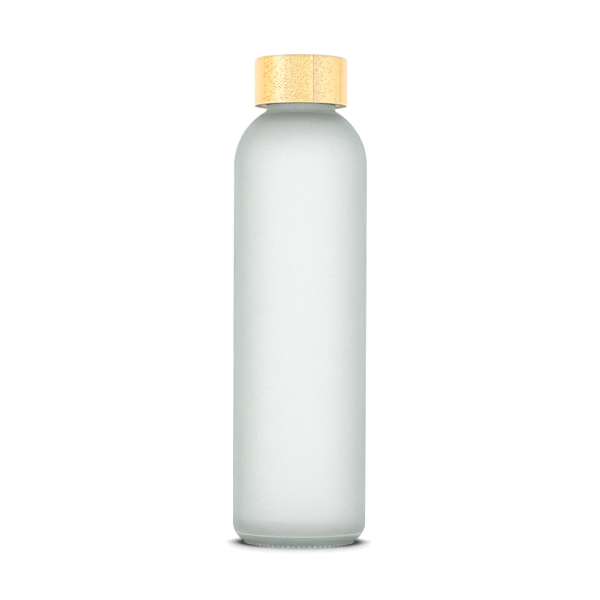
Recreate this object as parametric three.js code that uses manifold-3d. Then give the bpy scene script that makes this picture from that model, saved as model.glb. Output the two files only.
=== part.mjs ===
// Frosted glass water bottle with a screw lid of laminated bamboo. Millimetres.
// +Z is up the bottle's axis, and the origin is the centre of the foot, on the surface it stands on.
import * as THREE from "three";
import { mergeVertices } from "three/addons/utils/BufferGeometryUtils.js";
import Module from "manifold-3d";

const wasm = await Module();
wasm.setup();

// Overall sizes
const overallHeight = 236.5;
const bodyDiameter = 65;
const lidHeight = 23.3;
const neckDiameter = 33.6;

// Glass
const bodyWall = 2.5;
const neckWall = 2.8;
const shoulderRound = 31;
const neckShow = 1.9; // straight neck that stays in sight below the lid
const neckFillet = 1;
const rimRound = 0.9;
const heelRound = 10;
const floorHeight = 6; // inside floor above the foot, where it meets the inner heel
const floorCrown = 1;
const innerHeelRound = 8;
const pushUpRise = 3.5; // hollow under the foot
const knurlCount = 64;
const knurlHeight = 0.45;
const knurlLength = 4.4;
const knurlWidth = 1.2;
const knurlSlope = 1; // length of each sloping end

// Screw thread, the same section on the glass and in the insert
const threadPitch = 25.4 / 6;
const threadHeight = 1.2;
const threadFootWidth = 2.4;
const threadCrestWidth = 0.9;
const threadTopDrop = 3.3; // rim to the middle of the thread's upper end
const threadBottomRise = 4; // lid's lower edge to the middle of the thread's lower end
const threadFadeAngle = Math.PI / 6;
const crestClearance = 0.35;
const flankClearance = 0.15; // under the flank that pulls the lid down

// Plastic insert
const linerWall = 1.1;
const linerRoof = 1.4;
const linerLeadIn = 0.4;
const linerThreadRise = 1.9; // skirt to the middle of the thread's lower end
const skirtRecess = 0.6; // insert's lower edge above the bamboo's
const ribCount = 24;
const ribHeight = 0.4;
const ribWidth = 1;
const ribEndGap = 1;

// Silicone washer
const sealThickness = 1.8;
const sealFaceGap = 0.05;
const sealSideGap = 0.4;
const sealBoreGap = 0.2;

// Bamboo shell
const lidWall = 2.75;
const lidRoof = 6.2;
const lidTopRound = 1.8;
const lidEdgeRound = 0.4;
const slatJointShares = [-0.775, -0.326, 0.264, 0.841]; // glue lines across the lid, as shares of its radius
const glueGap = 0.1;

// How finely the round shapes are cut
const glassSegments = 64;
const lidSegments = 60;
const threadStepsPerTurn = 36;
const sink = 0.3; // how deep a joined-on feature starts inside its wall

// Radii, from the glass outwards
const bodyRadius = bodyDiameter / 2;
const neckRadius = neckDiameter / 2;
const boreRadius = neckRadius - neckWall;
const linerInnerRadius = neckRadius + threadHeight + crestClearance;
const linerOuterRadius = linerInnerRadius + linerWall;
const ribRadius = linerOuterRadius + ribHeight;
const lidBoreRadius = ribRadius + glueGap;
const lidRadius = lidBoreRadius + lidWall;

// Heights, from the top of the lid downwards
const lidRoofZ = overallHeight - lidRoof;
const linerTopZ = lidRoofZ - glueGap;
const linerCeilingZ = linerTopZ - linerRoof;
const sealTopZ = linerCeilingZ - sealFaceGap;
const sealBottomZ = sealTopZ - sealThickness;
const rimZ = sealBottomZ - sealFaceGap;
const lidBottomZ = overallHeight - lidHeight;
const skirtZ = lidBottomZ + skirtRecess;
const neckFootZ = lidBottomZ - neckShow;

// The shoulder is one arc that leaves the body upright and meets the neck in a small fillet.
const shoulderCentreRadius = bodyRadius - shoulderRound;
const filletReach = neckRadius + neckFillet - shoulderCentreRadius;
const filletRise = Math.sqrt((shoulderRound + neckFillet) ** 2 - filletReach ** 2);
const shoulderCentreZ = neckFootZ - filletRise;

const threadBottomZ = lidBottomZ + threadBottomRise;
const threadTopZ = rimZ - threadTopDrop;

const point = (radius, z) => new THREE.Vector2(radius, z);

// Points on an arc in the (radius, z) plane, both ends included. Angles are in radians from +radius.
function arc(radius, z, size, from, to, steps) {
  return Array.from({ length: steps + 1 }, (_, i) => {
    const angle = from + ((to - from) * i) / steps;
    return point(radius + size * Math.cos(angle), z + size * Math.sin(angle));
  });
}

// A closed three.js geometry as a solid that can be joined and cut.
function solidFrom(geometry) {
  const bare = geometry.clone();
  bare.deleteAttribute("normal");
  bare.deleteAttribute("uv");
  const merged = mergeVertices(bare, 1e-4);
  return new wasm.Manifold(
    new wasm.Mesh({
      numProp: 3,
      vertProperties: merged.attributes.position.array,
      triVerts: new Uint32Array(merged.index.array),
    }),
  );
}

function meshFrom(name, solid, material) {
  const made = solid.getMesh();
  const geometry = new THREE.BufferGeometry();
  geometry.setAttribute("position", new THREE.BufferAttribute(made.vertProperties, made.numProp));
  geometry.setIndex(new THREE.BufferAttribute(made.triVerts, 1));
  geometry.computeVertexNormals();
  const mesh = new THREE.Mesh(geometry, material);
  mesh.name = name;
  return mesh;
}

// A profile in the (radius, z) plane turned about the bottle's axis. It runs with the material on its left.
function turned(profile, segments) {
  return solidFrom(new THREE.LatheGeometry(profile, segments).rotateX(Math.PI / 2));
}

// One helical thread on a round wall: a straight bar with the thread's section, bent round the wall.
// outward is 1 for a thread on the outside of the wall and -1 for one inside it. The foot is sunk in the
// wall, and the crest fades into the wall at both ends.
function threadOn({ wallRadius, outward, fromZ, toZ, fromAngle }) {
  const span = ((toZ - fromZ) / threadPitch) * 2 * Math.PI;
  const steps = Math.ceil((span / (2 * Math.PI)) * threadStepsPerTurn);
  const section = new THREE.Shape([
    point(-sink, -threadFootWidth / 2),
    point(0, -threadFootWidth / 2),
    point(threadHeight, -threadCrestWidth / 2),
    point(threadHeight, threadCrestWidth / 2),
    point(0, threadFootWidth / 2),
    point(-sink, threadFootWidth / 2),
  ]);
  const bar = new THREE.ExtrudeGeometry(section, { depth: span, steps, bevelEnabled: false });
  const places = bar.attributes.position;
  for (let i = 0; i < places.count; i++) {
    const turn = outward > 0 ? span - places.getZ(i) : places.getZ(i);
    const fade = Math.min(1, turn / threadFadeAngle, (span - turn) / threadFadeAngle);
    const height = Math.min(places.getX(i), places.getX(i) * fade - (sink / 2) * (1 - fade));
    const radius = wallRadius + outward * height;
    const angle = fromAngle + turn;
    const z = fromZ + (turn / (2 * Math.PI)) * threadPitch + places.getY(i);
    places.setXYZ(i, radius * Math.cos(angle), radius * Math.sin(angle), z);
  }
  return solidFrom(bar);
}

// Adds count copies of a feature, made at angle 0, evenly round the axis.
function withRing(solid, feature, count) {
  const step = new THREE.Matrix4();
  for (let i = 0; i < count; i++) {
    step.makeRotationZ((2 * Math.PI * i) / count);
    solid = solid.add(solidFrom(feature.clone().applyMatrix4(step)));
  }
  return solid;
}

function glassProfile() {
  const innerRadius = bodyRadius - bodyWall;
  const heelCentreRadius = bodyRadius - heelRound;
  const heelStart = Math.asin((knurlHeight - heelRound) / heelRound);
  const knurlInner = heelCentreRadius + heelRound * Math.cos(heelStart) - knurlLength - 2 * sink;
  const pushUpDepth = pushUpRise - knurlHeight;
  const pushUpRound = (knurlInner ** 2 + pushUpDepth ** 2) / (2 * pushUpDepth);
  const pushUpEnd = Math.PI / 2 - Math.asin(knurlInner / pushUpRound);
  const filletStart = Math.atan2(filletRise, filletReach);
  const innerShoulderRound = shoulderRound - bodyWall;
  const boreStart = Math.acos((boreRadius - shoulderCentreRadius) / innerShoulderRound);
  return [
    ...arc(0, pushUpRise - pushUpRound, pushUpRound, Math.PI / 2, pushUpEnd, 3),
    ...arc(heelCentreRadius, heelRound, heelRound, heelStart, 0, 6),
    ...arc(shoulderCentreRadius, shoulderCentreZ, shoulderRound, 0, filletStart, 9),
    ...arc(neckRadius + neckFillet, neckFootZ, neckFillet, filletStart + Math.PI, Math.PI, 2).slice(1),
    ...arc(neckRadius - rimRound, rimZ - rimRound, rimRound, 0, Math.PI / 2, 2),
    ...arc(boreRadius + rimRound, rimZ - rimRound, rimRound, Math.PI / 2, Math.PI, 2),
    ...arc(shoulderCentreRadius, shoulderCentreZ, innerShoulderRound, boreStart, 0, 7),
    ...arc(innerRadius - innerHeelRound, floorHeight + innerHeelRound, innerHeelRound, 0, -Math.PI / 2, 4),
    point(0, floorHeight + floorCrown),
  ];
}

// One of the short bars that the foot stands on, lying along +X across the foot's ring.
function footKnurl() {
  const heelStart = Math.asin((knurlHeight - heelRound) / heelRound);
  const outer = bodyRadius - heelRound + heelRound * Math.cos(heelStart) - sink;
  const inner = outer - knurlLength;
  const seat = knurlHeight + sink;
  const side = new THREE.Shape([
    point(inner, seat),
    point(inner + knurlSlope, 0),
    point(outer - knurlSlope, 0),
    point(outer, seat),
  ]);
  const bar = new THREE.ExtrudeGeometry(side, { depth: knurlWidth, steps: 1, bevelEnabled: false });
  return bar.rotateX(Math.PI / 2).translate(0, knurlWidth / 2, 0);
}

function glassBottle() {
  const blown = turned(glassProfile(), glassSegments);
  const thread = threadOn({
    wallRadius: neckRadius,
    outward: 1,
    fromZ: threadBottomZ,
    toZ: threadTopZ,
    fromAngle: 0,
  });
  return withRing(blown.add(thread), footKnurl(), knurlCount);
}

// How far the insert's thread lies below the glass thread when the lid is tight.
function threadOffset() {
  const overlap = (linerInnerRadius - neckRadius) / threadHeight;
  const bothWidths = 2 * threadFootWidth - (threadFootWidth - threadCrestWidth) * overlap;
  return bothWidths / 2 + flankClearance;
}

function capLiner() {
  const cup = turned(
    [
      point(0, linerCeilingZ),
      point(linerInnerRadius, linerCeilingZ),
      point(linerInnerRadius, skirtZ + linerLeadIn),
      point(linerInnerRadius + linerLeadIn, skirtZ),
      point(linerOuterRadius, skirtZ),
      point(linerOuterRadius, linerTopZ),
      point(0, linerTopZ),
    ],
    lidSegments,
  );
  const fromZ = skirtZ + linerThreadRise;
  const thread = threadOn({
    wallRadius: linerInnerRadius,
    outward: -1,
    fromZ,
    toZ: threadTopZ - threadOffset(),
    fromAngle: ((fromZ + threadOffset() - threadBottomZ) / threadPitch) * 2 * Math.PI,
  });
  const ribLength = linerTopZ - skirtZ - 2 * ribEndGap;
  const rib = new THREE.BoxGeometry(ribHeight + sink, ribWidth, ribLength);
  rib.translate(ribRadius - (ribHeight + sink) / 2, 0, (linerTopZ + skirtZ) / 2);
  return withRing(cup.add(thread), rib, ribCount);
}

function sealingRing() {
  const inner = boreRadius + sealBoreGap;
  const outer = linerInnerRadius - sealSideGap;
  const section = [
    point(inner, sealBottomZ),
    point(outer, sealBottomZ),
    point(outer, sealTopZ),
    point(inner, sealTopZ),
    point(inner, sealBottomZ),
  ];
  return turned(section, lidSegments);
}

function bambooShell() {
  return turned(
    [
      point(0, lidRoofZ),
      point(lidBoreRadius, lidRoofZ),
      point(lidBoreRadius, lidBottomZ),
      point(lidRadius - lidEdgeRound, lidBottomZ),
      point(lidRadius, lidBottomZ + lidEdgeRound),
      ...arc(lidRadius - lidTopRound, overallHeight - lidTopRound, lidTopRound, 0, Math.PI / 2, 4),
      point(0, overallHeight),
    ],
    lidSegments,
  );
}

// The shell is cut into its slats along the glue lines, which run from front to back.
function bambooSlats() {
  const shell = bambooShell();
  const joints = slatJointShares.map((share) => share * lidRadius);
  const edges = [-lidRadius - glueGap, ...joints, lidRadius + glueGap];
  return edges.slice(1).map((right, i) => {
    const left = edges[i];
    const slab = new THREE.BoxGeometry(right - left - glueGap, 3 * lidRadius, 2 * lidHeight);
    slab.translate((left + right) / 2, 0, lidBottomZ + lidHeight / 2);
    return shell.intersect(solidFrom(slab));
  });
}

const frostedGlass = new THREE.MeshStandardMaterial({ color: 0xe6ece8, roughness: 0.5, metalness: 0 });
const whitePlastic = new THREE.MeshStandardMaterial({ color: 0xf1f0ea, roughness: 0.45, metalness: 0 });
const clearSilicone = new THREE.MeshStandardMaterial({ color: 0xe9e7df, roughness: 0.6, metalness: 0 });
const bambooTints = [0xfadb9f, 0xfae5b4, 0xf7db98, 0xf8dca5, 0xf8dba6];

const bottle = new THREE.Group();
bottle.add(meshFrom("glass_bottle", glassBottle(), frostedGlass));

const lid = new THREE.Group();
lid.add(meshFrom("sealing_ring", sealingRing(), clearSilicone));
lid.add(meshFrom("cap_liner", capLiner(), whitePlastic));
bambooSlats().forEach((slat, i) => {
  const bamboo = new THREE.MeshStandardMaterial({ color: bambooTints[i], roughness: 0.55, metalness: 0 });
  lid.add(meshFrom(`bamboo_slat_${i + 1}`, slat, bamboo));
});

const waterBottle = new THREE.Group();
waterBottle.add(bottle, lid);

export default waterBottle;
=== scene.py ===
import math

import bmesh
import bpy
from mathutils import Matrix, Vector


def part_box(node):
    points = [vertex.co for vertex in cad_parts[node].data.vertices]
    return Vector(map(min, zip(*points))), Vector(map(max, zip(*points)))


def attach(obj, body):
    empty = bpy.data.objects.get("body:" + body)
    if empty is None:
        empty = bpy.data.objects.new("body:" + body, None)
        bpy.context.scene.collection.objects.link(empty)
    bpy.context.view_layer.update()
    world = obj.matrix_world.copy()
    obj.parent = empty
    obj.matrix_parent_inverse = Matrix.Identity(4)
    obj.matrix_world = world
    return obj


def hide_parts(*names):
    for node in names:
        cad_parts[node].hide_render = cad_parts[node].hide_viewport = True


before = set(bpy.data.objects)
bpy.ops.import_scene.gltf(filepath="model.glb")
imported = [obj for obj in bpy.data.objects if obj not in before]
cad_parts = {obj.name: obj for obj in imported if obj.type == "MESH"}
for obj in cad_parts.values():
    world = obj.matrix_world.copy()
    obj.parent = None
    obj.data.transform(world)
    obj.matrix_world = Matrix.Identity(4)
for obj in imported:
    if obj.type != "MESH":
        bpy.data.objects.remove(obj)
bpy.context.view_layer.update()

scene = bpy.context.scene
mm = 0.001

cameraPlan = {
    "distance": 1.10,      # from the bottle's axis
    "height": 0.1184,
    "lens": 134.8,
    "roll": -0.243,        # degrees, the bottle leans a hair to the right
}

def addCamera(plan):
    data = bpy.data.cameras.new("productCamera")
    data.lens = plan["lens"]
    data.sensor_width = 36
    data.clip_end = 20
    camera = bpy.data.objects.new("productCamera", data)
    camera.location = (0, -plan["distance"], plan["height"])
    camera.rotation_euler = (math.radians(90), math.radians(plan["roll"]), 0)
    scene.collection.objects.link(camera)
    scene.camera = camera

addCamera(cameraPlan)
print("camera set")


# Short ways to add and join nodes, in geometry and material trees alike
def addNode(tree, kind, **settings):
    node = tree.nodes.new(kind)
    for name, value in settings.items():
        setattr(node, name, value)
    return node

def feed(tree, socket, value):
    if isinstance(value, bpy.types.NodeSocket):
        tree.links.new(value, socket)
    elif value is not None:
        socket.default_value = value

def calc(tree, operation, a, b=None, c=None, clamp=False):
    node = addNode(tree, "ShaderNodeMath", operation=operation, use_clamp=clamp)
    for socket, value in zip(node.inputs, (a, b, c)):
        feed(tree, socket, value)
    return node.outputs[0]

def easeBetween(tree, value, low, high, toLow=0.0, toHigh=1.0):
    node = addNode(tree, "ShaderNodeMapRange", interpolation_type="SMOOTHSTEP")
    limits = {"Value": value, "From Min": low, "From Max": high, "To Min": toLow, "To Max": toHigh}
    for name, given in limits.items():
        feed(tree, node.inputs[name], given)
    return node.outputs["Result"]

def splitXYZ(tree, vector):
    node = addNode(tree, "ShaderNodeSeparateXYZ")
    feed(tree, node.inputs[0], vector)
    return node.outputs

def joinXYZ(tree, x, y, z):
    node = addNode(tree, "ShaderNodeCombineXYZ")
    for socket, value in zip(node.inputs, (x, y, z)):
        feed(tree, socket, value)
    return node.outputs[0]

def mixNumber(tree, amount, first, second):
    node = addNode(tree, "ShaderNodeMix", data_type="FLOAT")
    for place, value in ((0, amount), (2, first), (3, second)):
        feed(tree, node.inputs[place], value)
    return node.outputs[0]

def mixColour(tree, amount, first, second, blend="MIX"):
    node = addNode(tree, "ShaderNodeMix", data_type="RGBA", blend_type=blend)
    for place, value in ((0, amount), (6, first), (7, second)):
        feed(tree, node.inputs[place], value)
    return node.outputs[2]

def greyOf(tree, value):
    node = addNode(tree, "ShaderNodeCombineColor")
    for socket in node.inputs:
        feed(tree, socket, value)
    return node.outputs[0]

def objectPlace(tree):
    return addNode(tree, "ShaderNodeTexCoord").outputs["Object"]

def noiseAt(tree, vector, scale, detail=3.0, roughness=0.5):
    node = addNode(tree, "ShaderNodeTexNoise")
    feed(tree, node.inputs["Vector"], vector)
    node.inputs["Scale"].default_value = scale
    node.inputs["Detail"].default_value = detail
    node.inputs["Roughness"].default_value = roughness
    return node.outputs["Fac"]

def centred(tree, noise):
    return calc(tree, "SUBTRACT", noise, 0.5)

def bumpFrom(tree, shader, height, distance, strength=1.0):
    node = addNode(tree, "ShaderNodeBump")
    node.inputs["Strength"].default_value = strength
    node.inputs["Distance"].default_value = distance
    feed(tree, node.inputs["Height"], height)
    feed(tree, shader.inputs["Normal"], node.outputs[0])

def newFinish(name):
    material = bpy.data.materials.new(name)
    material.use_nodes = True
    tree = material.node_tree
    return material, tree, tree.nodes["Principled BSDF"]

def modifierInput(modifier, name, value):
    # a modifier's inputs go by the socket's identifier
    for item in modifier.node_group.interface.items_tree:
        if item.item_type == "SOCKET" and item.in_out == "INPUT" and item.name == name:
            modifier[item.identifier] = value
            return
    raise KeyError(name)


# Every round piece is one profile turned about the axis, with a screw thread and evenly spaced bars
def buildTurnedForm():
    tree = bpy.data.node_groups.new("turnedForm", "GeometryNodeTree")
    face = tree.interface
    face.new_socket("Profile", in_out="INPUT", socket_type="NodeSocketGeometry")
    face.new_socket("Segments", in_out="INPUT", socket_type="NodeSocketInt")
    for name in (
        "Thread Foot Z", "Thread Pitch", "Thread Starts", "Thread Ends", "Thread Reach",
        "Thread Foot Half", "Thread Crest Half", "Thread Fade",
        "Bar Count", "Bar Half Share", "Bar Blend", "Bar Outward", "Bar Upward", "Bar Glint",
    ):
        face.new_socket(name, in_out="INPUT", socket_type="NodeSocketFloat")
    face.new_socket("Material", in_out="INPUT", socket_type="NodeSocketMaterial")
    face.new_socket("Form", in_out="OUTPUT", socket_type="NodeSocketGeometry")
    given = addNode(tree, "NodeGroupInput").outputs

    # rows run along the profile, columns round the axis
    size = addNode(tree, "GeometryNodeAttributeDomainSize", component="MESH")
    feed(tree, size.inputs[0], given["Profile"])
    rows = size.outputs["Point Count"]
    grid = addNode(tree, "GeometryNodeMeshGrid")
    feed(tree, grid.inputs["Vertices X"], calc(tree, "ADD", given["Segments"], 1.0))
    feed(tree, grid.inputs["Vertices Y"], rows)
    index = addNode(tree, "GeometryNodeInputIndex").outputs[0]
    safeIndex = calc(tree, "ADD", index, 0.25)        # keeps the division clear of whole numbers
    column = calc(tree, "FLOOR", calc(tree, "DIVIDE", safeIndex, rows))
    row = calc(tree, "SUBTRACT", index, calc(tree, "MULTIPLY", column, rows))
    share = calc(tree, "DIVIDE", column, given["Segments"])
    angle = calc(tree, "MULTIPLY", share, 2 * math.pi)

    def fromProfile(kind, value):
        node = addNode(tree, "GeometryNodeSampleIndex", data_type=kind, domain="POINT")
        feed(tree, node.inputs["Geometry"], given["Profile"])
        feed(tree, node.inputs["Value"], value)
        feed(tree, node.inputs["Index"], row)
        return node.outputs[0]

    def rowValue(name):
        node = addNode(tree, "GeometryNodeInputNamedAttribute", data_type="FLOAT")
        node.inputs["Name"].default_value = name
        return fromProfile("FLOAT", node.outputs["Attribute"])

    profilePoint = fromProfile("FLOAT_VECTOR", addNode(tree, "GeometryNodeInputPosition").outputs[0])
    radius, _, height = splitXYZ(tree, profilePoint)

    # screw thread: how far this point is, up or down, from the nearest turn of the helix
    climb = calc(tree, "SUBTRACT", height, given["Thread Foot Z"])
    rise = calc(tree, "SUBTRACT", calc(tree, "DIVIDE", climb, given["Thread Pitch"]), share)
    turn = calc(tree, "ROUND", rise)
    offTurn = calc(tree, "MULTIPLY", calc(tree, "SUBTRACT", rise, turn), given["Thread Pitch"])
    offTurn = calc(tree, "ABSOLUTE", offTurn)
    flank = easeBetween(tree, offTurn, given["Thread Foot Half"], given["Thread Crest Half"])
    along = calc(tree, "ADD", turn, share)
    toEnd = calc(
        tree, "MINIMUM",
        calc(tree, "SUBTRACT", along, given["Thread Starts"]),
        calc(tree, "SUBTRACT", given["Thread Ends"], along),
    )
    fade = easeBetween(tree, calc(tree, "DIVIDE", toEnd, given["Thread Fade"]), 0.0, 1.0)
    thread = calc(tree, "MULTIPLY", calc(tree, "MULTIPLY", flank, fade), given["Thread Reach"])
    thread = calc(tree, "MULTIPLY", thread, rowValue("threadRow"))

    # bars spaced evenly round the axis: foot knurls, grip ribs
    phase = calc(tree, "MULTIPLY", share, given["Bar Count"])
    offBar = calc(tree, "ABSOLUTE", calc(tree, "SUBTRACT", phase, calc(tree, "ROUND", phase)))
    bar = easeBetween(
        tree, offBar,
        calc(tree, "ADD", given["Bar Half Share"], given["Bar Blend"]),
        calc(tree, "SUBTRACT", given["Bar Half Share"], given["Bar Blend"]),
    )
    bar = calc(tree, "MULTIPLY", bar, rowValue("barRow"))

    reach = calc(tree, "MULTIPLY_ADD", bar, given["Bar Outward"], calc(tree, "ADD", radius, thread))
    level = calc(tree, "MULTIPLY_ADD", bar, given["Bar Upward"], height)
    spot = joinXYZ(
        tree,
        calc(tree, "MULTIPLY", reach, calc(tree, "COSINE", angle)),
        calc(tree, "MULTIPLY", reach, calc(tree, "SINE", angle)),
        level,
    )
    # the bars add to the frost; on the knurls this is a painted highlight
    frost = calc(tree, "MULTIPLY_ADD", bar, given["Bar Glint"], rowValue("frost"))

    shape = grid.outputs["Mesh"]
    for kind, settings, sockets in (
        ("StoreNamedAttribute", {"data_type": "FLOAT"}, {"Name": "frost", "Value": frost}),
        ("SetPosition", {}, {"Position": spot}),
        ("MergeByDistance", {}, {"Distance": 0.002 * mm}),        # closes the seam and the poles
        ("SetShadeSmooth", {}, {}),
        ("RealizeInstances", {}, {}),
        ("SetMaterial", {}, {"Material": given["Material"]}),
    ):
        node = addNode(tree, "GeometryNode" + kind, **settings)
        feed(tree, node.inputs["Geometry"], shape)
        for name, value in sockets.items():
            feed(tree, node.inputs[name], value)
        shape = node.outputs["Geometry"]
    feed(tree, addNode(tree, "NodeGroupOutput").inputs["Form"], shape)
    return tree

turnedForm = buildTurnedForm()


# A profile is a list of rows, each a radius, a height and its marks: frost (frost, and past 1 painted
# light), threadRow and barRow.
# The material lies on the profile's left.
def arcRows(centreRadius, centreZ, size, start, end, steps, **marks):
    rows = []
    for i in range(steps + 1):
        angle = math.radians(start + (end - start) * i / steps)
        rows.append((centreRadius + size * math.cos(angle), centreZ + size * math.sin(angle), marks))
    return rows

def lineRows(fromPoint, toPoint, steps, **marks):
    # the first point is left out, because the stretch before it ends there
    (r0, z0), (r1, z1) = fromPoint, toPoint
    return [(r0 + (r1 - r0) * i / steps, z0 + (z1 - z0) * i / steps, marks) for i in range(1, steps + 1)]

def pointOutwards(mesh):
    form = bmesh.new()
    form.from_mesh(mesh)
    bmesh.ops.recalc_face_normals(form, faces=form.faces)
    if form.calc_volume(signed=True) < 0:
        bmesh.ops.reverse_faces(form, faces=form.faces)
    form.to_mesh(mesh)
    form.free()

def turnProfile(name, rows, segments, material, extras=None):
    mesh = bpy.data.meshes.new(name + "Profile")
    points = [(max(r, 0.0), 0.0, z) for r, z, marks in rows]
    mesh.from_pydata(points, [(i, i + 1) for i in range(len(points) - 1)], [])
    for mark in ("frost", "threadRow", "barRow"):
        values = mesh.attributes.new(mark, "FLOAT", "POINT")
        values.data.foreach_set("value", [marks.get(mark, 0.0) for r, z, marks in rows])
    source = bpy.data.objects.new(name + "Profile", mesh)
    scene.collection.objects.link(source)
    modifier = source.modifiers.new("turnedForm", "NODES")
    modifier.node_group = turnedForm
    settings = {
        "Segments": segments, "Material": material,
        "Thread Pitch": 1.0, "Thread Fade": 1.0, "Thread Foot Half": 1.0, "Bar Blend": 0.1,
        **(extras or {}),
    }
    for key, value in settings.items():
        modifierInput(modifier, key, value)
    evaluated = source.evaluated_get(bpy.context.evaluated_depsgraph_get())
    finished = bpy.data.meshes.new_from_object(evaluated)
    bpy.data.objects.remove(source)
    pointOutwards(finished)
    return finished

def addPiece(name, mesh, body, node):
    mesh.name = name
    piece = bpy.data.objects.new(name, mesh)
    scene.collection.objects.link(piece)
    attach(piece, body)
    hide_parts(node)
    print(name, len(mesh.polygons), "faces")


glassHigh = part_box("glass_bottle")[1]
linerLow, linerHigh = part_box("cap_liner")
sealLow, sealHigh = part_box("sealing_ring")
stripBoxes = [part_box(f"bamboo_slat_{i}") for i in range(1, 6)]
lidLow, lidHigh = stripBoxes[2]        # the middle strip has the lid's full depth and height
lidBottom, lidTop = lidLow.z, lidHigh.z
print("frame read: lid from", round(lidBottom, 4), "to", round(lidTop, 4))


glassPlan = {
    "segments": 448,
    "bodyRadius": glassHigh.x,
    "rimZ": glassHigh.z,
    "wall": 2.5 * mm,
    "neckRadius": 16.8 * mm,
    "boreRadius": 14.0 * mm,
    "shoulderRound": 31 * mm,
    "neckFootZ": lidBottom - 1.9 * mm,
    "neckFillet": 1.0 * mm,
    "rimRound": 0.9 * mm,
    "heelRound": 10 * mm,
    "innerHeelRound": 8 * mm,
    "floorZ": 6 * mm,
    "floorCrown": 1 * mm,
    "pushUpRise": 3.5 * mm,
    # the knurls stand on the foot ring, and their outer ends show on the heel as small upright beads
    "ringWidth": 5.0 * mm,
    "knurlCount": 64,
    "knurlHeight": 0.45 * mm,
    "knurlHalf": 0.26,             # share of the space from one knurl to the next
    "knurlBlend": 0.14,
    "knurlNose": 0.20 * mm,
    "knurlNoseZ": 0.80 * mm,
    "knurlNoseFade": 0.20 * mm,
    # a fine ridge where the mould's foot plate met its sides
    "seamZ": 5.5 * mm,
    "seamRise": 0.10 * mm,
    "seamHalf": 0.42 * mm,
    # frost and painted light: 0 is clear, 1 is full, and past 1 the surface turns a painted white that
    # stands in for light on the neck band, the seam line and the knurls
    "litNeckTopZ": lidBottom - 4.7 * mm,     # painted light: the neck and the top of the shoulder are made whiter than the body
    "litNeckStep": 0.8,                      # degrees of the shoulder
    "neckFrostAndLight": 1.5,
    "footFrost": 0.70,                     # below the mould seam
    "ringFrost": 0.15,
    "pushUpFrost": 0.35,
    "insideFrost": 0.25,
    # painted highlight: the knurls turn white where they would glint
    "knurlGlint": 2.4,
    # painted highlight: a light line along the seam ridge
    "seamHighlight": 1.0,
    # screw thread
    "pitch": 25.4 / 6 * mm,
    "threadFootZ": lidBottom + 4.0 * mm,
    "threadTopZ": glassHigh.z - 3.3 * mm,
    "threadReach": 1.2 * mm,
    "threadFootHalf": 1.2 * mm,
    "threadCrestHalf": 0.35 * mm,
    "threadFade": 1 / 9,                   # turns
    # finish
    "tint": (0.99, 0.995, 0.992, 1),
    "edgeTintAndShade": (0.71, 0.765, 0.735, 1),   # seen along the surface, the frost looks deeper; this darker edge colour is partly painted shade
    "edgeStarts": 0.08,
    "edgeSpan": 0.45,
    "absorb": (0.74, 0.80, 0.765, 1),
    "density": 55.0,
    "footTintAndShade": (0.86, 0.915, 0.875, 1),   # painted shade below the seam, partly the greener tint of the thick foot
    "footShadeTopZ": 5.6 * mm,
    "footShadeFullZ": 5.0 * mm,
    "creaseShade": (0.58, 0.64, 0.61, 1),       # painted shade in the crease where the shoulder turns into the neck, under the lid
    "creaseStartZ": lidBottom - 10.9 * mm,
    "creaseFullZ": lidBottom - 5.1 * mm,
    "creaseLeaveZ": lidBottom - 4.8 * mm,
    "creaseEndZ": lidBottom - 4.0 * mm,
    # painted light: the white that the surface turns to past full frost
    "paintedLightWhite": (0.93, 0.99, 0.955, 1),
    "clearRough": 0.05,
    "frostRough": 0.62,
    "frostWhite": 0.32,                    # share of the light that the frost throws back
    "speckle": 0.50,                       # how much the etched grain varies in brightness
    "grainScale": 1700.0,
    "grainRough": 0.08,
    "grainHeight": 0.03 * mm,
    "cloudScale": 45.0,
    "cloudRough": 0.10,
}

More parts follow.
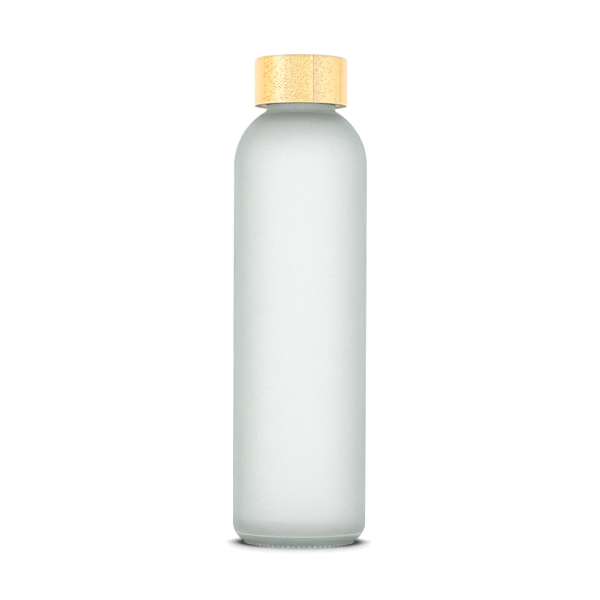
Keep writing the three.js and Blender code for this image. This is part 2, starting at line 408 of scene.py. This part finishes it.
def frostedGlassFinish(plan):
    material, tree, shader = newFinish("frostedGlass")
    place = objectPlace(tree)
    height = splitXYZ(tree, place)["Z"]
    frost = addNode(tree, "ShaderNodeAttribute", attribute_name="frost").outputs["Fac"]
    grain = noiseAt(tree, place, plan["grainScale"], 2.0)
    cloud = noiseAt(tree, place, plan["cloudScale"])
    frosted = calc(tree, "MULTIPLY_ADD", centred(tree, cloud), plan["cloudRough"], plan["frostRough"])
    frosted = calc(tree, "MULTIPLY_ADD", centred(tree, grain), plan["grainRough"], frosted)
    cover = calc(tree, "MULTIPLY", frost, frost, clamp=True)
    feed(tree, shader.inputs["Roughness"], mixNumber(tree, cover, plan["clearRough"], frosted))

    # towards the outline the colour darkens: partly the deeper look of the frost, partly painted shade
    facing = addNode(tree, "ShaderNodeLayerWeight")
    facing.inputs["Blend"].default_value = 0.5
    slant = calc(tree, "SUBTRACT", facing.outputs["Facing"], plan["edgeStarts"])
    slant = calc(tree, "DIVIDE", slant, plan["edgeSpan"], clamp=True)
    edge = calc(tree, "MULTIPLY", slant, frost, clamp=True)
    colour = mixColour(tree, edge, plan["tint"], plan["edgeTintAndShade"])
    # painted shade on the foot, partly the green of the thick glass
    foot = easeBetween(tree, height, plan["footShadeTopZ"], plan["footShadeFullZ"])
    colour = mixColour(tree, foot, colour, plan["footTintAndShade"])
    # painted shade in the band where the shoulder meets the neck
    below = easeBetween(tree, height, plan["creaseStartZ"], plan["creaseFullZ"])
    above = easeBetween(tree, height, plan["creaseEndZ"], plan["creaseLeaveZ"])
    colour = mixColour(tree, calc(tree, "MULTIPLY", below, above), colour, plan["creaseShade"])
    # painted light: past full frost the colour mixes towards the painted white
    paintedLightWhite = calc(tree, "SUBTRACT", frost, 1.0, clamp=True)
    colour = mixColour(tree, paintedLightWhite, colour, plan["paintedLightWhite"])
    speck = calc(tree, "MULTIPLY", centred(tree, grain), frost)
    speck = calc(tree, "MULTIPLY_ADD", speck, plan["speckle"], 1.0)
    feed(tree, shader.inputs["Base Color"], mixColour(tree, 1.0, colour, greyOf(tree, speck), "MULTIPLY"))

    shader.inputs["IOR"].default_value = 1.5
    seeThrough = calc(tree, "MULTIPLY_ADD", frost, -plan["frostWhite"], 1.0)
    feed(tree, shader.inputs["Transmission Weight"], seeThrough)
    bumpFrom(tree, shader, calc(tree, "MULTIPLY", grain, frost), plan["grainHeight"])
    depth = addNode(tree, "ShaderNodeVolumeAbsorption")
    depth.inputs["Color"].default_value = plan["absorb"]
    depth.inputs["Density"].default_value = plan["density"]
    feed(tree, tree.nodes["Material Output"].inputs["Volume"], depth.outputs[0])
    return material

def footRows(plan, ringOuter, heelStart):
    # push-up and foot ring: barRow is the share of a knurl's height that the row has
    ringInner = ringOuter - plan["ringWidth"]
    depth = plan["pushUpRise"] - plan["knurlHeight"]
    dome = (ringInner ** 2 + depth ** 2) / (2 * depth)
    domeEnd = 90 - math.degrees(math.asin(ringInner / dome))
    rows = arcRows(0, plan["pushUpRise"] - dome, dome, 90, domeEnd, 8, frost=plan["pushUpFrost"])
    ringSteps = 14
    for i in range(1, ringSteps):
        t = i / ringSteps
        bulge = min(1.0, 1.9 * math.sin(math.pi * t)) if t < 0.5 else 1.0
        marks = {"barRow": bulge, "frost": plan["ringFrost"]}
        rows.append((ringInner + plan["ringWidth"] * t, plan["knurlHeight"], marks))

    # heel: the rows stand closer together at the mould seam, and the frosting thins out below it
    body, heel = plan["bodyRadius"], plan["heelRound"]
    seam = -math.degrees(math.asin((heel - plan["seamZ"]) / heel))
    heelRows = []
    for start, end, steps in ((heelStart, seam - 3, 20), (seam - 2, seam + 2, 8), (seam + 3, 0, 10)):
        heelRows += arcRows(body - heel, heel, heel, start, end, steps)
    for r, z, marks in heelRows:
        away = (z - plan["seamZ"]) / plan["seamHalf"]
        ridge = max(0.0, 1 - away * away)
        frost = plan["footFrost"] + (1 - plan["footFrost"]) * min(1.0, max(0.0, 0.5 + 1.5 * away))
        # painted highlight along the seam ridge
        frost += plan["seamHighlight"] * ridge
        nose = min(1.0, max(0.0, 1 - (z - plan["knurlNoseZ"]) / plan["knurlNoseFade"]))
        nose *= min(z, plan["knurlNoseZ"]) / plan["knurlHeight"]
        rows.append((r + plan["seamRise"] * ridge, z, {"frost": frost, "barRow": nose}))
    return rows

def glassRows(plan):
    body, wall, heel = plan["bodyRadius"], plan["wall"], plan["heelRound"]
    neck, bore, fillet = plan["neckRadius"], plan["boreRadius"], plan["neckFillet"]
    rim, lip, curve = plan["rimZ"], plan["rimRound"], plan["shoulderRound"]
    centre = body - curve
    reach = neck + fillet - centre
    rise = math.sqrt((curve + fillet) ** 2 - reach ** 2)
    shoulderZ = plan["neckFootZ"] - rise
    filletStart = math.degrees(math.atan2(rise, reach))
    heelStart = math.degrees(math.asin((plan["knurlHeight"] - heel) / heel))

    rows = footRows(plan, body - heel + heel * math.cos(math.radians(heelStart)), heelStart)
    # the neck band takes painted light: its frost goes past 1
    litNeck = plan["neckFrostAndLight"]
    litNeckStart = math.degrees(math.asin((plan["litNeckTopZ"] - shoulderZ) / curve))
    rows += arcRows(centre, shoulderZ, curve, 0, litNeckStart, 34, frost=1.0)
    rows += arcRows(centre, shoulderZ, curve, litNeckStart + plan["litNeckStep"], filletStart, 8, frost=litNeck)
    rows += arcRows(neck + fillet, plan["neckFootZ"], fillet, filletStart + 180, 180, 5, frost=litNeck)[1:]
    rows += lineRows((neck, plan["neckFootZ"]), (neck, lidBottom), 3, frost=litNeck)
    rows += lineRows((neck, lidBottom), (neck, rim - lip), 54, threadRow=1.0)
    rows += arcRows(neck - lip, rim - lip, lip, 0, 90, 6)[1:]
    rows += arcRows(bore + lip, rim - lip, lip, 90, 180, 6)

    # inside: clear at the bore and just below it, then lightly frosted
    inside, innerRound, innerHeel = plan["insideFrost"], curve - wall, plan["innerHeelRound"]
    floorRadius, floorZ = body - wall - innerHeel, plan["floorZ"]
    boreStart = math.degrees(math.acos((bore - centre) / innerRound))
    rows += arcRows(centre, shoulderZ, innerRound, boreStart, boreStart * 0.8, 4)
    rows += arcRows(centre, shoulderZ, innerRound, boreStart * 0.75, 0, 16, frost=inside)
    rows += arcRows(floorRadius, floorZ + innerHeel, innerHeel, 0, -90, 12, frost=inside)
    rows += lineRows((floorRadius, floorZ), (0, floorZ + plan["floorCrown"]), 6, frost=inside)
    return rows

glassExtras = {
    "Thread Foot Z": glassPlan["threadFootZ"],
    "Thread Pitch": glassPlan["pitch"],
    "Thread Starts": 0.0,
    "Thread Ends": (glassPlan["threadTopZ"] - glassPlan["threadFootZ"]) / glassPlan["pitch"],
    "Thread Reach": glassPlan["threadReach"],
    "Thread Foot Half": glassPlan["threadFootHalf"],
    "Thread Crest Half": glassPlan["threadCrestHalf"],
    "Thread Fade": glassPlan["threadFade"],
    "Bar Count": float(glassPlan["knurlCount"]),
    "Bar Half Share": glassPlan["knurlHalf"],
    "Bar Blend": glassPlan["knurlBlend"],
    "Bar Upward": -glassPlan["knurlHeight"],
    "Bar Outward": glassPlan["knurlNose"],
    "Bar Glint": glassPlan["knurlGlint"],
}
glassFinish = frostedGlassFinish(glassPlan)
glassMesh = turnProfile("glass", glassRows(glassPlan), glassPlan["segments"], glassFinish, glassExtras)
addPiece("frosted_glass_bottle", glassMesh, "bottle", "glass_bottle")


# The insert and the washer are moulded: soft clouds of colour, a fine grain, and a little depth to the light
def mouldedFinish(name, plan):
    material, tree, shader = newFinish(name)
    place = objectPlace(tree)
    cloud = noiseAt(tree, place, plan["cloudScale"])
    grain = noiseAt(tree, place, plan["grainScale"], plan["grainDetail"])
    feed(tree, shader.inputs["Base Color"], mixColour(tree, cloud, *plan["tones"]))
    rough = calc(tree, "MULTIPLY_ADD", cloud, plan["cloudRough"], plan["rough"])
    rough = calc(tree, "MULTIPLY_ADD", grain, plan["grainRough"], rough)
    feed(tree, shader.inputs["Roughness"], rough)
    shader.inputs["Subsurface Weight"].default_value = plan["glow"]
    shader.inputs["Subsurface Scale"].default_value = plan["glowDepth"]
    bumpFrom(tree, shader, grain, plan["grainHeight"], plan["grainBump"])
    return material

linerPlan = {
    "segments": 432,
    "outerRadius": 19.45 * mm,
    "innerRadius": 18.35 * mm,
    "topZ": linerHigh.z,
    "ceilingZ": linerHigh.z - 1.4 * mm,
    "skirtZ": linerLow.z,
    "leadIn": 0.4 * mm,
    "edgeRound": 0.3 * mm,
    "chamfer": 0.15 * mm,
    "ribCount": 24,
    "ribHeight": 0.4 * mm,
    "ribHalf": 0.10,               # share of the space from one rib to the next
    "ribBlend": 0.03,
    "threadFromRise": 1.9 * mm,
    "threadOffset": 1.58125 * mm,
    "panelRadius": 12.5 * mm,      # the raised middle of the ceiling
    "panelRise": 0.35 * mm,
    "panelSlope": 0.3 * mm,
    # finish
    "tones": ((0.93, 0.93, 0.91, 1), (0.96, 0.96, 0.95, 1)),
    "cloudScale": 120.0,
    "cloudRough": 0.14,
    "rough": 0.30,
    "grainScale": 2400.0,
    "grainDetail": 2.0,
    "grainRough": 0.0,
    "grainHeight": 0.02 * mm,
    "grainBump": 0.7,
    "glow": 0.15,
    "glowDepth": 4 * mm,
}

def linerRows(plan):
    inner, outer, edge, chamfer = (plan[k] for k in ("innerRadius", "outerRadius", "edgeRound", "chamfer"))
    ceiling, top, skirt, lead = (plan[k] for k in ("ceilingZ", "topZ", "skirtZ", "leadIn"))
    panel, panelZ, panelEdge = plan["panelRadius"], ceiling - plan["panelRise"], plan["panelSlope"]
    rows = [(0.0, panelZ, {})]
    rows += lineRows((0, panelZ), (panel - panelEdge, panelZ), 6)
    rows += lineRows((panel - panelEdge, panelZ), (panel, ceiling), 3)
    rows += lineRows((panel, ceiling), (inner - edge, ceiling), 3)
    rows += arcRows(inner - edge, ceiling - edge, edge, 90, 0, 4)[1:]
    rows += lineRows((inner, ceiling - edge), (inner, skirt + lead), 50, threadRow=1.0)
    rows += lineRows((inner, skirt + lead), (inner + lead, skirt), 3)
    rows += lineRows((inner + lead, skirt), (outer - chamfer, skirt), 2)
    rows += lineRows((outer - chamfer, skirt), (outer, skirt + chamfer), 2)
    ribRows = lineRows((outer, skirt + chamfer), (outer, top - chamfer), 18)
    for i, (r, z, marks) in enumerate(ribRows):        # the ribs stop short of both ends
        rows.append((r, z, {"barRow": 1.0 if 1 <= i <= 15 else 0.0}))
    rows += lineRows((outer, top - chamfer), (outer - chamfer, top), 2)
    rows += lineRows((outer - chamfer, top), (0, top), 6)
    return rows

linerFootZ = glassPlan["threadFootZ"] - linerPlan["threadOffset"]
linerTopZ = glassPlan["threadTopZ"] - linerPlan["threadOffset"]
linerStartZ = linerPlan["skirtZ"] + linerPlan["threadFromRise"]
linerExtras = {
    **glassExtras,
    "Thread Foot Z": linerFootZ,
    "Thread Starts": (linerStartZ - linerFootZ) / glassPlan["pitch"],
    "Thread Ends": (linerTopZ - linerFootZ) / glassPlan["pitch"],
    "Thread Reach": -glassPlan["threadReach"],
    "Bar Count": float(linerPlan["ribCount"]),
    "Bar Half Share": linerPlan["ribHalf"],
    "Bar Blend": linerPlan["ribBlend"],
    "Bar Upward": 0.0,
    "Bar Outward": linerPlan["ribHeight"],
    "Bar Glint": 0.0,
}
linerFinish = mouldedFinish("linerPlastic", linerPlan)
linerMesh = turnProfile("liner", linerRows(linerPlan), linerPlan["segments"], linerFinish, linerExtras)
addPiece("threaded_insert", linerMesh, "lid", "cap_liner")


sealPlan = {
    "segments": 240,
    "inner": 14.2 * mm,
    "outer": sealHigh.x,
    "edge": 0.25 * mm,
    "beadRadius": 15.4 * mm,       # a low ridge that bites on the rim
    "beadHalf": 0.8 * mm,
    "beadDip": 0.22 * mm,
    # finish
    "tones": ((0.78, 0.77, 0.73, 1), (0.86, 0.85, 0.82, 1)),
    "cloudScale": 160.0,
    "cloudRough": 0.0,
    "rough": 0.42,
    "grainScale": 1800.0,
    "grainDetail": 3.0,
    "grainRough": 0.2,
    "grainHeight": 0.03 * mm,
    "grainBump": 0.8,
    "glow": 0.3,
    "glowDepth": 3 * mm,
}

def sealRows(plan):
    inner, outer, edge = plan["inner"], plan["outer"], plan["edge"]
    low, high = sealLow.z, sealHigh.z
    rows = arcRows(inner + edge, low + edge, edge, 180, 270, 4)
    for r, z, marks in lineRows((inner + edge, low), (outer - edge, low), 24):
        away = min(1.0, abs(r - plan["beadRadius"]) / plan["beadHalf"])
        groove = plan["beadDip"] * 0.5 * (1 - math.cos(math.pi * away))
        rows.append((r, low + (groove if r >= inner + 2 * edge else 0.0), marks))
    rows += arcRows(outer - edge, low + edge, edge, -90, 0, 4)[1:]
    rows += arcRows(outer - edge, high - edge, edge, 0, 90, 4)
    rows += lineRows((outer - edge, high), (inner + edge, high), 6)
    rows += arcRows(inner + edge, high - edge, edge, 90, 180, 4)[1:]
    rows.append(rows[0])
    return rows

sealFinish = mouldedFinish("sealSilicone", sealPlan)
sealMesh = turnProfile("seal", sealRows(sealPlan), sealPlan["segments"], sealFinish)
addPiece("silicone_washer", sealMesh, "seal", "sealing_ring")


bambooPlan = {
    "segments": 360,
    "radius": lidHigh.y,
    "bore": 19.95 * mm,
    "roofZ": lidTop - 6.2 * mm,
    "topRound": 1.8 * mm,
    "edgeRound": 0.4 * mm,
    "boreEdge": 0.3 * mm,
    "ease": 0.03 * mm,             # how much each glued edge is rubbed down
    "glueGap": 0.02 * mm,
    "sideMargin": 0.2 * mm,
    "sharpAngle": 32,              # degrees
    # fibre bundles, cut across: dots in slanting rows
    "bundle": (0.50, 0.26, 0.07, 1),
    "bundleSize": 1.08 * mm,
    "bundleHalf": 0.22,            # share of a cell, and how much more some bundles have
    "bundleHalfMore": 0.12,
    "bundleEdge": (0.12, -0.08),       # round a dot, in shares of a cell
    "bundlePresent": (-0.25, 0.15),    # how gently the bundles thin out
    "bundleDepth": 0.82,
    "bundleFaint": 0.6,                # the faintest bundle, as a share of the darkest
    "bundleSlant": 45,
    "bundleScatter": 0.4,
    "bundleRagged": 0.3,
    "bundleRough": 0.08,
    "bundleDent": 0.5,
    # fine threads, broad bands and their sway
    "threadScale": 2600.0,
    "threadTone": 0.26,
    "threadRough": 0.22,
    "rough": 0.38,
    "relief": 0.06 * mm,
    "reliefStrength": 0.8,
    "bandScale": 330.0,
    "bandShift": 0.35,
    "swayScale": 260.0,
    "sway": 0.7 * mm,
    "alongFibre": 0.05,            # how little the pattern changes along the strips
    # glue lines, a painted highlight along the bottom edge, and painted shade on the underside
    "glue": (0.55, 0.33, 0.11, 1),
    "glueEdge": (0.256 * mm, 0.08 * mm),   # from the joint, where the glue line ends and where it is full
    # painted highlight: the rounded bottom edge catching light
    "edgeHighlight": (0.98, 0.85, 0.55, 1),
    "edgeHighlightDepth": 0.55,
    "edgeHighlightTopZ": lidBottom + 1.1 * mm,
    "edgeHighlightFullZ": lidBottom + 0.4 * mm,
    # painted shade on the underside
    "under": (0.26, 0.16, 0.08, 1),
    "underTopZ": lidBottom + 0.05 * mm,
    "underFullZ": lidBottom + 0.01 * mm,
}

# One entry a strip, left to right: colours across it, how thick its fibre bundles stand across it, how
# dark its left and right glue lines are, and how the bundles widen into dashes towards its left and right
strips = [
    {"tones": [(0.92, 0.68, 0.40), (0.93, 0.59, 0.20)],
     "bundles": [0.0, 0.05], "glue": (0.0, 0.05), "spread": (0.35, 0.35)},
    {"tones": [(0.94, 0.61, 0.18), (0.95, 0.67, 0.25), (0.96, 0.81, 0.50), (0.96, 0.79, 0.47)],
     "bundles": [0.6, 0.5, 0.4, 0.7], "glue": (0.05, 0.1), "spread": (0.35, 1.0)},
    {"tones": [(0.94, 0.75, 0.42), (0.94, 0.71, 0.34), (0.93, 0.70, 0.28), (0.96, 0.79, 0.43)],
     "bundles": [1.0, 1.1, 0.9, 0.65], "glue": (0.1, 0.70), "spread": (1.0, 1.0)},
    {"tones": [(0.90, 0.67, 0.37), (0.95, 0.76, 0.42), (0.93, 0.68, 0.33), (0.90, 0.57, 0.19)],
     "bundles": [1.1, 0.8, 0.2, 0.0], "glue": (1.0, 0.4), "spread": (1.0, 1.0)},
    {"tones": [(0.89, 0.58, 0.23), (0.90, 0.64, 0.37)],
     "bundles": [0.0, 0.0], "glue": (0.5, 0.0), "spread": (1.0, 1.0)},
]

def alongRamp(tree, value, colours):
    ramp = addNode(tree, "ShaderNodeValToRGB")
    feed(tree, ramp.inputs["Fac"], value)
    stops = ramp.color_ramp.elements
    while len(stops) < len(colours):
        stops.new(0.5)
    for i, colour in enumerate(colours):
        stops[i].position = i / (len(colours) - 1)
        stops[i].color = (*colour, 1)
    return ramp.outputs["Color"]

def fibreFlow(tree, place, inside, across, right, strip, plan):
    # fibres run from front to back: the pattern lies in X and Z, and hardly changes along Y.
    # Its start depends on the strip's right side, so no two strips are alike.
    leftSpread, rightSpread = strip["spread"]
    spread = calc(tree, "MULTIPLY_ADD", across, (rightSpread - leftSpread) / 2, leftSpread)
    flow = joinXYZ(
        tree,
        calc(tree, "MULTIPLY_ADD", inside, spread, right * 9),
        place["Z"],
        calc(tree, "MULTIPLY", place["Y"], plan["alongFibre"]),
    )
    sway = addNode(tree, "ShaderNodeTexNoise")
    feed(tree, sway.inputs["Vector"], flow)
    sway.inputs["Scale"].default_value = plan["swayScale"]
    swayed = addNode(tree, "ShaderNodeVectorMath", operation="MULTIPLY_ADD")
    feed(tree, swayed.inputs[0], sway.outputs["Color"])
    swayed.inputs[1].default_value = (plan["sway"], plan["sway"], 0.0)
    feed(tree, swayed.inputs[2], flow)
    return swayed.outputs[0]

def bundleDots(tree, fibre, threads, crowd, plan):
    slanted = addNode(tree, "ShaderNodeMapping")
    feed(tree, slanted.inputs["Vector"], fibre)
    slanted.inputs["Rotation"].default_value = (0, 0, math.radians(plan["bundleSlant"]))
    cells = addNode(tree, "ShaderNodeTexVoronoi", feature="F1", voronoi_dimensions="2D")
    feed(tree, cells.inputs["Vector"], slanted.outputs[0])
    cells.inputs["Scale"].default_value = 1.0 / plan["bundleSize"]
    cells.inputs["Randomness"].default_value = plan["bundleScatter"]
    chance = addNode(tree, "ShaderNodeSeparateColor")
    feed(tree, chance.inputs[0], cells.outputs["Color"])
    half = calc(tree, "MULTIPLY_ADD", chance.outputs["Red"], plan["bundleHalfMore"], plan["bundleHalf"])
    ragged = calc(tree, "MULTIPLY", centred(tree, threads), plan["bundleRagged"])
    away = calc(tree, "SUBTRACT", calc(tree, "ADD", cells.outputs["Distance"], ragged), half)
    dots = easeBetween(tree, away, *plan["bundleEdge"])
    present = calc(tree, "SUBTRACT", crowd, chance.outputs["Green"])
    present = easeBetween(tree, present, *plan["bundlePresent"])
    faint = plan["bundleFaint"]
    strength = calc(tree, "MULTIPLY_ADD", chance.outputs["Blue"], 1 - faint, faint)
    return calc(tree, "MULTIPLY", dots, calc(tree, "MULTIPLY", present, strength))

def bambooFinish(name, left, right, strip, plan):
    material, tree, shader = newFinish(name)
    place = splitXYZ(tree, objectPlace(tree))
    inside = calc(tree, "SUBTRACT", place["X"], left)
    across = calc(tree, "DIVIDE", inside, right - left, clamp=True)
    fibre = fibreFlow(tree, place, inside, across, right, strip, plan)
    bands = noiseAt(tree, fibre, plan["bandScale"])
    threads = noiseAt(tree, fibre, plan["threadScale"], 3.0, 0.6)
    shifted = calc(tree, "MULTIPLY_ADD", centred(tree, bands), plan["bandShift"], across, clamp=True)
    crowd = alongRamp(tree, shifted, [(b, b, b) for b in strip["bundles"]])
    dots = bundleDots(tree, fibre, threads, crowd, plan)

    fine = calc(tree, "MULTIPLY_ADD", centred(tree, threads), plan["threadTone"], 1.0)
    colour = alongRamp(tree, shifted, strip["tones"])
    colour = mixColour(tree, 1.0, colour, greyOf(tree, fine), "MULTIPLY")
    colour = mixColour(tree, calc(tree, "MULTIPLY", dots, plan["bundleDepth"]), colour, plan["bundle"])
    for edge, dark in zip((left, right), strip["glue"]):
        off = calc(tree, "ABSOLUTE", calc(tree, "SUBTRACT", place["X"], edge))
        glued = easeBetween(tree, off, *plan["glueEdge"])
        colour = mixColour(tree, calc(tree, "MULTIPLY", glued, dark), colour, plan["glue"])
    # painted highlight along the bottom edge
    edgeHighlight = easeBetween(tree, place["Z"], plan["edgeHighlightTopZ"], plan["edgeHighlightFullZ"])
    colour = mixColour(tree, calc(tree, "MULTIPLY", edgeHighlight, plan["edgeHighlightDepth"]), colour, plan["edgeHighlight"])
    # painted shade on the underside
    underShade = easeBetween(tree, place["Z"], plan["underTopZ"], plan["underFullZ"])
    feed(tree, shader.inputs["Base Color"], mixColour(tree, underShade, colour, plan["under"]))

    rough = calc(tree, "MULTIPLY_ADD", threads, plan["threadRough"], plan["rough"])
    rough = calc(tree, "MULTIPLY_ADD", dots, plan["bundleRough"], rough)
    feed(tree, shader.inputs["Roughness"], rough)
    shader.inputs["IOR"].default_value = 1.45
    relief = calc(tree, "MULTIPLY_ADD", dots, -plan["bundleDent"], threads)
    bumpFrom(tree, shader, relief, plan["relief"], plan["reliefStrength"])
    return material

def shellRows(plan):
    radius, bore, roof, edge = plan["radius"], plan["bore"], plan["roofZ"], plan["boreEdge"]
    topRound, edgeRound = plan["topRound"], plan["edgeRound"]
    rows = [(0.0, roof, {})]
    rows += lineRows((0, roof), (bore, roof), 6)
    rows += lineRows((bore, roof), (bore, lidBottom + edge), 6)
    rows += arcRows(bore + edge, lidBottom + edge, edge, 180, 270, 4)[1:]
    rows += lineRows((bore + edge, lidBottom), (radius - edgeRound, lidBottom), 3)
    rows += arcRows(radius - edgeRound, lidBottom + edgeRound, edgeRound, -90, 0, 5)[1:]
    rows += lineRows((radius, lidBottom + edgeRound), (radius, lidTop - topRound), 8)
    rows += arcRows(radius - topRound, lidTop - topRound, topRound, 0, 90, 12)[1:]
    rows += lineRows((radius - topRound, lidTop), (0, lidTop), 16)
    return rows

def cutStrip(shell, left, right, plan):
    form = bmesh.new()
    form.from_mesh(shell)
    for edgeX, side in ((left, -1), (right, 1)):
        if abs(edgeX) > plan["radius"] - plan["sideMargin"]:        # the lid's own side, so nothing to cut
            continue
        for cutX, clear in ((edgeX - side * plan["ease"], False), (edgeX, True)):
            parts = form.verts[:] + form.edges[:] + form.faces[:]
            bmesh.ops.bisect_plane(
                form, geom=parts, plane_co=(cutX, 0, 0), plane_no=(side, 0, 0), clear_outer=clear,
            )
        form.normal_update()
        rim = [e for e in form.edges if e.is_boundary]
        rim = [e for e in rim if all(abs(v.co.x - edgeX) < 1e-6 for v in e.verts)]
        shifts = {}
        for v in {v for e in rim for v in e.verts}:
            outward = Vector((0.0, v.normal.y, v.normal.z))
            if outward.length > 1e-6:
                shifts[v] = -outward.normalized() * plan["ease"]
        for v, shift in shifts.items():
            v.co += shift
        bmesh.ops.triangle_fill(form, edges=rim, use_beauty=True, normal=(side, 0, 0))
    bmesh.ops.triangulate(form, faces=[f for f in form.faces if len(f.verts) > 4])
    bmesh.ops.recalc_face_normals(form, faces=form.faces)
    mesh = bpy.data.meshes.new("strip")
    form.to_mesh(mesh)
    form.free()
    mesh.set_sharp_from_angle(angle=math.radians(plan["sharpAngle"]))
    return mesh

shellMesh = turnProfile("bambooShell", shellRows(bambooPlan), bambooPlan["segments"], None)
halfGap = bambooPlan["glueGap"] / 2
joints = [(before[1].x + after[0].x) / 2 for before, after in zip(stripBoxes, stripBoxes[1:])]
lefts = [stripBoxes[0][0].x] + [x + halfGap for x in joints]
rights = [x - halfGap for x in joints] + [stripBoxes[-1][1].x]
for i, (left, right, strip) in enumerate(zip(lefts, rights, strips), 1):
    stripMesh = cutStrip(shellMesh, left, right, bambooPlan)
    stripMesh.materials.clear()
    stripMesh.materials.append(bambooFinish(f"bamboo{i}", left, right, strip, bambooPlan))
    addPiece(f"bamboo_strip_{i}", stripMesh, "lid", f"bamboo_slat_{i}")
bpy.data.meshes.remove(shellMesh)


studioPlan = {
    "floorSize": 8.0,
    "floorShade": 0.80,
    "floorGlow": 0.54,
    # the bottle's shade reaches further in front of it: where that starts and is full, in Y and across
    "frontY": (-0.010, -0.032),
    "frontX": (0.052, 0.012),
    "sideReach": 0.013,
    "frontReach": 0.060,
    "sideDark": 0.05,
    "frontDark": 0.38,
    "sideOpen": (0.25, 0.85),      # how open the corner is where the shade is deepest, and where it ends
    "frontOpen": (0.45, 0.99),
    "underDark": 0.34,             # light comes down through the glass foot
    "underRadius": (0.027, 0.021),
    "skyLow": 1.30,
    "skyHigh": 0.42,
    "skyFade": (0.35, 0.95),       # as the sine of the height above the horizon
}

def paleFloorFinish(plan):
    # painted shadow: the floor darkens where the bottle hides it from the light
    material, tree, shader = newFinish("paleFloor")
    place = objectPlace(tree)
    spot = splitXYZ(tree, place)
    front = calc(
        tree, "MULTIPLY",
        easeBetween(tree, spot["Y"], *plan["frontY"]),
        easeBetween(tree, calc(tree, "ABSOLUTE", spot["X"]), *plan["frontX"]),
    )

    def sideToFront(side, ahead):
        return calc(tree, "MULTIPLY_ADD", front, ahead - side, side)

    flat = addNode(tree, "ShaderNodeVectorMath", operation="LENGTH")
    feed(tree, flat.inputs[0], place)
    under = easeBetween(tree, flat.outputs["Value"], *plan["underRadius"])
    nook = addNode(tree, "ShaderNodeAmbientOcclusion", samples=16)
    feed(tree, nook.inputs["Distance"], sideToFront(plan["sideReach"], plan["frontReach"]))
    deepest, ending = (sideToFront(*pair) for pair in zip(plan["sideOpen"], plan["frontOpen"]))
    clear = easeBetween(tree, nook.outputs["AO"], deepest, ending)
    dark = sideToFront(plan["sideDark"], plan["frontDark"])
    dark = calc(tree, "MAXIMUM", dark, calc(tree, "MULTIPLY", under, plan["underDark"]))
    shade = calc(tree, "MULTIPLY_ADD", clear, calc(tree, "SUBTRACT", plan["floorShade"], dark), dark)
    feed(tree, shader.inputs["Base Color"], greyOf(tree, shade))
    shader.inputs["Roughness"].default_value = 0.9
    shader.inputs["Specular IOR Level"].default_value = 0.0
    shader.inputs["Emission Color"].default_value = (1, 1, 1, 1)
    glow = calc(tree, "MULTIPLY", shade, plan["floorGlow"] / plan["floorShade"])
    feed(tree, shader.inputs["Emission Strength"], glow)
    return material

def addFloor(plan):
    half = plan["floorSize"] / 2
    mesh = bpy.data.meshes.new("floor")
    corners = [(-half, -half, 0), (half, -half, 0), (half, half, 0), (-half, half, 0)]
    mesh.from_pydata(corners, [], [(0, 1, 2, 3)])
    mesh.materials.append(paleFloorFinish(plan))
    floor = bpy.data.objects.new("floor", mesh)
    scene.collection.objects.link(floor)

def lightWorld(plan):
    world = bpy.data.worlds.new("studio")
    scene.world = world
    world.use_nodes = True
    tree = world.node_tree
    up = splitXYZ(tree, addNode(tree, "ShaderNodeTexCoord").outputs["Generated"])["Z"]
    sky = easeBetween(tree, up, *plan["skyFade"], plan["skyLow"], plan["skyHigh"])
    seen = addNode(tree, "ShaderNodeLightPath").outputs["Is Camera Ray"]
    background = tree.nodes["Background"]
    background.inputs["Color"].default_value = (1, 1, 1, 1)
    feed(tree, background.inputs["Strength"], mixNumber(tree, seen, sky, 1.0))

addFloor(studioPlan)
lightWorld(studioPlan)
scene.view_settings.view_transform = "Standard"
print("stage set")
